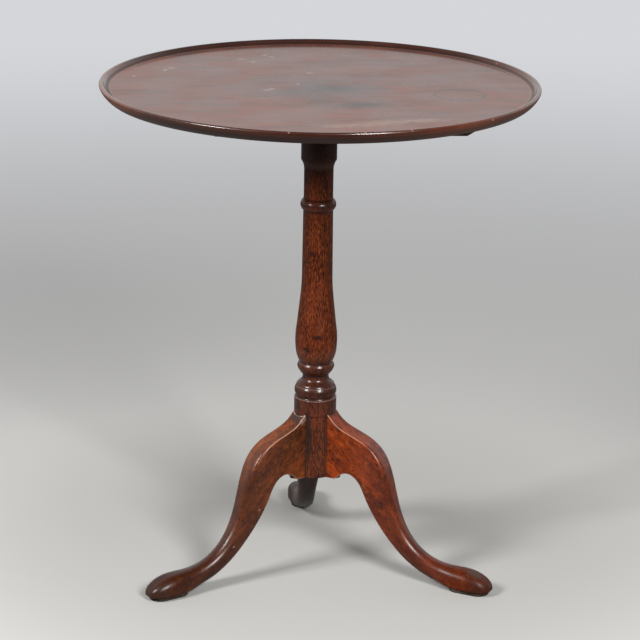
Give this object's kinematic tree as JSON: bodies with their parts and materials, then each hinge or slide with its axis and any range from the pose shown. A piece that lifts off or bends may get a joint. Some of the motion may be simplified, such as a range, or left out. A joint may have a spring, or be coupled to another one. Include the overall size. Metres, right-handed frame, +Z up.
{
  "type": "tilt-top tea table",
  "caption": "Round tea table with a raised rim, turned vase pillar and carved cabriole legs; the top tips up on a hinge block and is held down by a sliding catch.",
  "frame": {"origin": "on the floor, under the pillar's axis", "axes": "+Z up along the pillar, +Y out along the back leg, +X to the right of the picture, along the bearers"},
  "size_m": [0.6159, 0.616, 0.716],
  "materials": {
    "tray_mahogany": "polished, worn, with scuffs and a ring mark",
    "pillar_mahogany": "turned and polished, dark in the hollows",
    "leg_mahogany": "carved and polished, short dark pores",
    "sole_wood": "blackened and worn",
    "bearer_wood": "planed, dry and dusty",
    "block_wood": "planed, dry",
    "catch_brass": "cast, dull with age",
    "brace_iron": "forged, blackened",
    "screw_steel": "slotted, dulled",
    "spring_steel": "blued strip"
  },
  "bodies": {
    "base": {"pillar": "pillar_mahogany", "tenon_wedge": "block_wood", "tilt_block": "block_wood", "pivot_pins": "block_wood", "leg_left": "leg_mahogany", "leg_right": "leg_mahogany", "leg_back": "leg_mahogany", "sole_left": "sole_wood", "sole_right": "sole_wood", "sole_back": "sole_wood", "brace_plate": "brace_iron", "brace_screws": "screw_steel", "keeper_plate": "catch_brass", "keeper_screws": "catch_brass"},
    "top": {"tray_top": "tray_mahogany", "bearer_front": "bearer_wood", "bearer_back": "bearer_wood", "bearer_screws": "screw_steel", "catch_case": "catch_brass", "catch_screws": "catch_brass", "catch_spring": "spring_steel"},
    "catch": {"catch_bolt": "catch_brass", "catch_knob": "catch_brass"}
  },
  "joints": [
    {"name": "top_tilt", "type": "hinge", "parent": "base", "child": "top", "pos_m": [0.055, 0, 0.681], "axis": [0, 1, 0], "range_deg": [0, 90]},
    {"name": "catch_slide", "type": "slide", "parent": "top", "child": "catch", "axis": [1, 0, 0], "range_m": [0, 0.008]}
  ]
}
